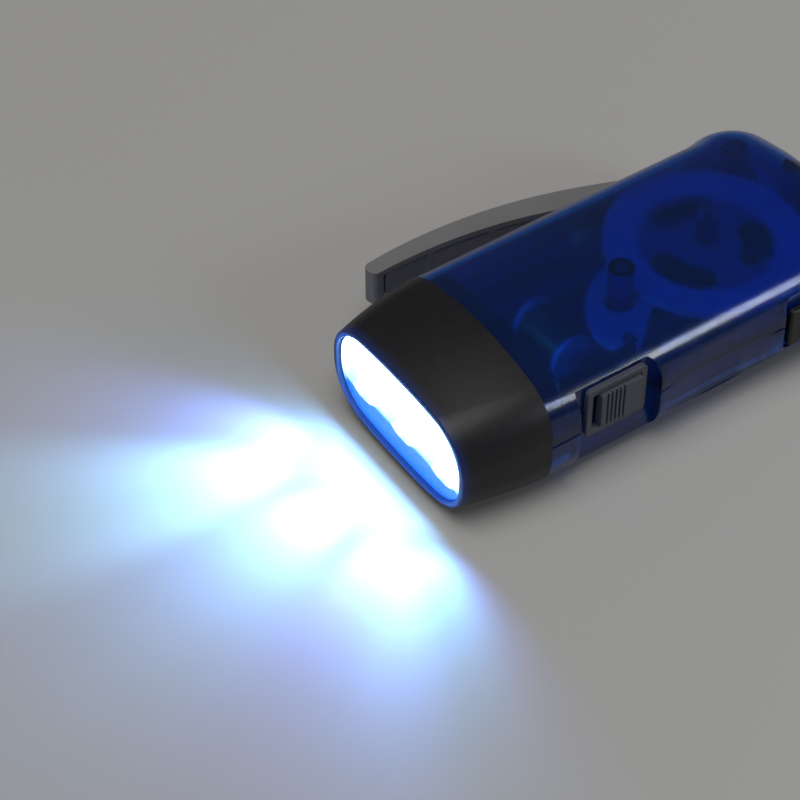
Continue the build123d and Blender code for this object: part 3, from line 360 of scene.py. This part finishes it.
finishes = {
    "blue_shell": blueShell(),
    "bezel_grey": bezelGreyPaintedGlow(),
    "lever_grey": mouldedPlastic("leverGrey", (0.165, 0.16, 0.162), grain=0.35).material,
    "switch_grey": mouldedPlastic("switchGrey", (0.058, 0.063, 0.082), grain=0.25).material,
    "clear_lens": clearLens(),
    "lamp_body": lampBody(),
    "bright_reflector": reflectorPaintedGlow(),
    "gear_white": plainPlastic("gearWhite", (0.78, 0.78, 0.74)),
    "flywheel_grey": flywheelGrey(),
    "board_green": plainPlastic("boardGreen", (0.02, 0.13, 0.06), rough=0.3),
    "black_plastic": plainPlastic("blackPlastic", (0.018, 0.018, 0.018)),
    "magnet": metal("magnet", (0.06, 0.06, 0.065), rough=(0.45, 0.6)),
    "steel": metal("steel", (0.62, 0.62, 0.64)),
    "core_steel": metal("coreSteel", (0.42, 0.42, 0.44), rough=(0.35, 0.5)),
    "copper_wire": metal("copperWire", (0.72, 0.28, 0.1), rough=(0.25, 0.4), size=0.3),
    "switch_metal": metal("switchMetal", (0.7, 0.7, 0.68)),
    "cell_metal": metal("cellMetal", (0.75, 0.75, 0.72), rough=(0.15, 0.3)),
}
slotOf = {entry["node"]: entry["material_slot"] for entry in frame["record"]["subparts"]}
bodyOf = {node: body for body, nodes in frame["record"]["behaviour"]["bodies"].items() for node in nodes}
for node, piece in frame["nodes"].items():
    piece.data.materials.clear()
    piece.data.materials.append(finishes[slotOf[node]])
print("finishes made:", len(finishes))


# ---- the moulded pieces that show, smoothed; those with a width here also have their edges broken ----
skinEdges = {
    "top_shell": 0,
    "bottom_shell": 0,
    "bezel": 0,
    "lens": 0,
    "reflector": 0,
    "leds": 0,
    "lever": 0.35,
    "switch_frame": 0.15,
    "switch_button": 0.12,
    "lock_slider": 0.15,
    "flywheel": 0.1,
    "gear_frame": 0.12,
    "circuit_board": 0.08,
}
otherLook = {"lock_slider": "bezel_grey"}  # darker than its neighbours in the photo
for node, width in skinEdges.items():
    piece = tidied(node, dissolve=width > 0)
    if width:
        piece = bevelled(piece, width)
    look = finishes[otherLook.get(node, slotOf[node])]
    settle(piece, node + "Skin", look, bodyOf[node], slotOf[node], node)
print("skins made:", len(skinEdges))


# ---- the inner face of the lever, set back between its flanges and ribs ----
leverPanel = {
    "path": [(-12.6, -24.2), (11.3, -30.9), (32.6, -31.8)],
    "low": 11.3, "high": 16.9, "thick": 0.8, "steps": 14, "edge": 0.12,
}


# the y of the panel's face at x: a smooth curve through the path's three points
def panelY(x):
    (x0, y0), (x1, y1), (x2, y2) = leverPanel["path"]
    return (y0 * (x - x1) * (x - x2) / ((x0 - x1) * (x0 - x2))
            + y1 * (x - x0) * (x - x2) / ((x1 - x0) * (x1 - x2))
            + y2 * (x - x0) * (x - x1) / ((x2 - x0) * (x2 - x1)))


def makeLeverPanel():
    firstX, lastX = leverPanel["path"][0][0], leverPanel["path"][2][0]
    high = leverPanel["high"] - leverPanel["low"]
    start = Vector((firstX, panelY(firstX), (leverPanel["high"] + leverPanel["low"]) / 2))
    deselectAll()
    bpy.ops.mesh.primitive_plane_add(size=1, location=start * mm, rotation=(0, math.radians(90), 0))
    panel = bpy.context.object
    panel.scale = (high * mm, leverPanel["thick"] * mm, 1)
    applyTransform()
    editAll()
    step = (lastX - firstX) / leverPanel["steps"]
    for i in range(leverPanel["steps"]):
        x = firstX + i * step
        onward = Vector((step, panelY(x + step) - panelY(x), 0)) * mm
        bpy.ops.mesh.extrude_region_move(TRANSFORM_OT_translate={"value": onward})
    bpy.ops.mesh.select_all(action="SELECT")
    bpy.ops.mesh.normals_make_consistent(inside=False)
    editDone()
    bevelled(panel, leverPanel["edge"])
    settle(panel, "lever_panel", finishes["lever_grey"], "lever", "lever_grey")


makeLeverPanel()
print("lever panel made")


# ---- the return spring between the case and the lever, which winds up as the lever closes: here a smoothed steel copy that stays as imported ----
springLook = {"foot": 5.8, "top": 8.4, "sharp": 50}


def makeSpring():
    spring = tidied("lever_spring", sharp=springLook["sharp"])
    spring.name = "lever_spring_coil"
    spring.data.materials.clear()
    spring.data.materials.append(finishes["steel"])
    hinge = frame["nodes"]["lever_pin"].data.vertices
    x = sum(v.co.x for v in hinge) / len(hinge)
    y = sum(v.co.y for v in hinge) / len(hinge)
    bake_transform(spring)
    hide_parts("lever_spring")


makeSpring()


# ---- the coil's wound copper: a wire turned round its axis over a plain sleeve ----
coilLook = {
    "x": 15.2, "z": 14.4, "half": 5.7, "outer": 4.3,
    "wire": 0.25, "wireSides": 8, "turns": 22, "steps": 30, "sharp": 50,
    "sleeveSides": 48, "sleeveEdge": 0.15,
}


def makeTurns(middle):
    wire, half = coilLook["wire"], coilLook["half"]
    pitch = (2 * half - 2 * wire) / coilLook["turns"]
    deselectAll()
    bpy.ops.mesh.primitive_circle_add(vertices=coilLook["wireSides"], radius=wire * mm, location=(0, 0, 0))
    turns = bpy.context.object
    editAll()
    bpy.ops.transform.translate(value=(middle * mm, 0, 0))
    editDone()
    screw = turns.modifiers.new("Wound", "SCREW")
    screw.axis = "Y"
    screw.angle = math.radians(360)
    screw.screw_offset = pitch * mm
    screw.iterations = coilLook["turns"]
    screw.steps = screw.render_steps = coilLook["steps"]
    bpy.ops.object.modifier_apply(modifier=screw.name)
    bpy.ops.object.mode_set(mode="EDIT")
    bpy.ops.mesh.select_all(action="DESELECT")
    bpy.ops.mesh.select_non_manifold()
    bpy.ops.mesh.fill_holes(sides=coilLook["wireSides"])
    bpy.ops.mesh.select_all(action="SELECT")
    bpy.ops.mesh.normals_make_consistent(inside=False)
    editDone()
    turns.location = Vector((coilLook["x"], wire - half, coilLook["z"])) * mm
    applyTransform()
    bpy.ops.object.shade_smooth_by_angle(angle=math.radians(coilLook["sharp"]))
    return turns


def makeCoil():
    middle = coilLook["outer"] - coilLook["wire"]
    turns = makeTurns(middle)
    deselectAll()
    bpy.ops.mesh.primitive_cylinder_add(
        vertices=coilLook["sleeveSides"], radius=middle * mm, depth=2 * coilLook["half"] * mm,
        location=Vector((coilLook["x"], 0, coilLook["z"])) * mm, rotation=(math.radians(90), 0, 0))
    editAll()
    bpy.ops.mesh.bevel(offset=coilLook["sleeveEdge"] * mm, segments=2)
    editDone()
    applyTransform()
    turns.select_set(True)
    bpy.context.view_layer.objects.active = turns
    bpy.ops.object.join()
    settle(turns, "coil_turns", finishes["copper_wire"], "housing", "copper_wire", "coil_winding")


makeCoil()


# ---- parts soldered on the inner side of the circuit board ----
boardParts = {
    "face": 15.2,  # y of the board's inner side
    "edge": 0.12,
    "gap": 0.05,  # a part stands this far off the board
    # name, x, z, width, height, depth, slot
    "parts": [
        ("rectifier_a", 11.4, 19.4, 2.6, 1.5, 1.0, "black_plastic"),
        ("rectifier_b", 11.4, 16.4, 2.6, 1.5, 1.0, "black_plastic"),
        ("rectifier_c", 16.4, 19.4, 2.6, 1.5, 1.0, "black_plastic"),
        ("rectifier_d", 16.4, 16.4, 2.6, 1.5, 1.0, "black_plastic"),
        ("resistor_a", 21.6, 19.6, 1.8, 0.9, 0.5, "black_plastic"),
        ("resistor_b", 21.6, 17.6, 1.8, 0.9, 0.5, "black_plastic"),
        ("filter_cap", 21.8, 9.6, 2.0, 1.3, 1.1, "switch_metal"),
    ],
    # the soldered ends, whose depth and height are shares of their part's
    "ends": {"width": 0.5, "out": 0.1, "depth": 0.55, "height": 0.8, "gap": 0.02, "edge": 0.1},
    "joint": {"foot": 0.75, "tip": 0.3, "high": 0.7, "sides": 20, "edge": 0.14, "edgeSteps": 3, "sharp": 60},
    # x, z
    "joints": [(11.2, 8.2), (13.8, 8.2), (16.4, 8.2), (24.4, 19.6), (24.4, 14.0), (24.4, 8.2)],
}


def block(width, depth, height, at):
    deselectAll()
    bpy.ops.mesh.primitive_cube_add(size=1, location=Vector(at) * mm)
    piece = bpy.context.object
    piece.scale = Vector((width, depth, height)) * mm
    applyTransform()
    return piece


def makeBoardParts():
    face, ends, joint = boardParts["face"], boardParts["ends"], boardParts["joint"]
    for name, x, z, width, height, depth, slot in boardParts["parts"]:
        body = block(width, depth, height, (x, face - boardParts["gap"] - depth / 2, z))
        bevelled(body, boardParts["edge"])
        settle(body, name, finishes[slot], "housing", slot)
        capDepth = depth * ends["depth"]
        for end, side in (("in", -1), ("out", 1)):
            at = (x + side * (width / 2 + ends["out"]), face - ends["gap"] - capDepth / 2, z)
            cap = block(ends["width"], capDepth, height * ends["height"], at)
            bevelled(cap, ends["edge"])
            settle(cap, name + "_" + end, finishes["switch_metal"], "housing", "switch_metal")
    for i, (x, z) in enumerate(boardParts["joints"]):
        deselectAll()
        bpy.ops.mesh.primitive_cone_add(
            vertices=joint["sides"], radius1=joint["foot"] * mm, radius2=joint["tip"] * mm,
            depth=joint["high"] * mm, location=Vector((x, face - joint["high"] / 2, z)) * mm,
            rotation=(math.radians(90), 0, 0))
        piece = bpy.context.object
        editAll()
        bpy.ops.mesh.bevel(offset=joint["edge"] * mm, segments=joint["edgeSteps"])
        editDone()
        bpy.ops.object.shade_smooth_by_angle(angle=math.radians(joint["sharp"]))
        settle(piece, "solder_joint_" + str(i + 1), finishes["switch_metal"], "housing", "switch_metal")


makeBoardParts()
print("spring, coil and board dressed")


# ---- floor, light and camera ----
stageLook = {"floor": (0.375, 0.37, 0.36), "rough": 0.75, "size": 4000}
bpy.ops.mesh.primitive_plane_add(size=stageLook["size"] * mm, location=(0, 0, 0))
floor = bpy.context.object
floor.name = "floor"
paper = Finish("floorPaper")
paper.set("Base Color", stageLook["floor"])
paper.set("Roughness", stageLook["rough"])
floor.data.materials.append(paper.material)


# a lamp at a place in millimetres that shines along a direction
def addLamp(name, kind, power, colour, at=(0, 0, 0), shine=None):
    lamp = bpy.data.lights.new(name, kind)
    lamp.energy, lamp.color = power, colour
    holder = bpy.data.objects.new(name, lamp)
    bpy.context.scene.collection.objects.link(holder)
    holder.location = Vector(at) * mm
    if shine:
        holder.rotation_euler = Vector(shine).to_track_quat("-Z", "Y").to_euler()
    return holder


lightLook = {
    "sky": {"from": (0.22, 0.12, 0.97), "spread": 46, "strength": 1.93, "colour": (1.0, 0.99, 0.975)},
    "rear": {"at": (-300, 480, 300), "size": 150, "watts": 0.8, "colour": (0.9, 0.95, 1.0)},
    "room": {"strength": 0.09, "colour": (0.96, 0.97, 1.0)},
}
sky = lightLook["sky"]
holder = addLamp("sky", "SUN", sky["strength"], sky["colour"], shine=-Vector(sky["from"]))
holder.data.angle = math.radians(sky["spread"])
rear = lightLook["rear"]
holder = addLamp("rear", "AREA", rear["watts"], rear["colour"], at=rear["at"], shine=-Vector(rear["at"]))
holder.data.size = rear["size"] * mm

room = lightLook["room"]
world = bpy.data.worlds.new("room")
bpy.context.scene.world = world
world.use_nodes = True
background = world.node_tree.nodes["Background"]
background.inputs["Color"].default_value = (*room["colour"], 1)
background.inputs["Strength"].default_value = room["strength"]

cameraLook = {
    "at": (243.0, 279.3, 369.5), "aim": (40.83, -14.68, 0.0),
    "lens": 117.0, "sensor": 36.0, "near": 10,
}
camera = bpy.data.cameras.new("camera")
camera.lens = cameraLook["lens"]
camera.sensor_width = cameraLook["sensor"]
camera.clip_start = cameraLook["near"] * mm
cameraHolder = bpy.data.objects.new("camera", camera)
bpy.context.scene.collection.objects.link(cameraHolder)
cameraHolder.location = Vector(cameraLook["at"]) * mm
aim = Vector(cameraLook["aim"]) * mm - cameraHolder.location
cameraHolder.rotation_euler = aim.to_track_quat("-Z", "Y").to_euler()
bpy.context.scene.camera = cameraHolder
bpy.context.scene.view_settings.view_transform = "Standard"
print("stage set")


# ---- the light that the lamp throws on the floor ----
beamLook = {
    "x": 54.6, "z": 10.0, "soft": 2.0,
    "core": (0.16, 0.7, 1.0),
    "far": (0.27, 0.6, 1.0),
    "haze": (0.17, 0.27, 1.0),
    # turn, tilt, y, cone, watts, tone
    "beams": [
        (-40, 20, -9, 56, 0.30, "haze"),
        (-20, 12, -7, 44, 0.60, "far"),
        (-20, 18, -7, 50, 0.13, "core"),
        (6, 20, 0, 56, 0.14, "core"),
        (4, 14, 0, 62, 0.38, "haze"),
        (40, 15, 7, 58, 0.38, "haze"),
        (56, 24, 12, 58, 0.10, "core"),
        (64, 20, 12, 58, 0.12, "haze"),
    ],
}
poolLook = {"at": (55.2, 0, 9.5), "wide": 33, "high": 5, "watts": 0.045, "tilt": 8, "colour": (0.22, 0.5, 1.0)}
leakLook = {"at": (30.5, 9, 22), "watts": 0.004, "colour": (0.1, 0.35, 1.0), "soft": 1.5}


# the direction turned from +X towards +Y and tilted down, in degrees
def aimed(turn, tilt):
    turn, tilt = math.radians(turn), math.radians(tilt)
    return Vector((math.cos(turn) * math.cos(tilt), math.sin(turn) * math.cos(tilt), -math.sin(tilt)))


for i, (turn, tilt, y, cone, watts, tone) in enumerate(beamLook["beams"]):
    holder = addLamp("beam" + str(i), "SPOT", watts, beamLook[tone],
                     at=(beamLook["x"], y, beamLook["z"]), shine=aimed(turn, tilt))
    holder.data.spot_size = math.radians(cone)
    holder.data.spot_blend = 1.0
    holder.data.shadow_soft_size = beamLook["soft"] * mm
holder = addLamp("pool", "AREA", poolLook["watts"], poolLook["colour"],
                 at=poolLook["at"], shine=aimed(0, poolLook["tilt"]))
holder.data.shape = "RECTANGLE"
holder.data.size, holder.data.size_y = poolLook["wide"] * mm, poolLook["high"] * mm
holder.visible_camera = holder.visible_glossy = holder.visible_transmission = False
# what the lamp board lets back into the case
holder = addLamp("leak", "POINT", leakLook["watts"], leakLook["colour"], at=leakLook["at"])
holder.data.shadow_soft_size = leakLook["soft"] * mm
print("lamp's light thrown")
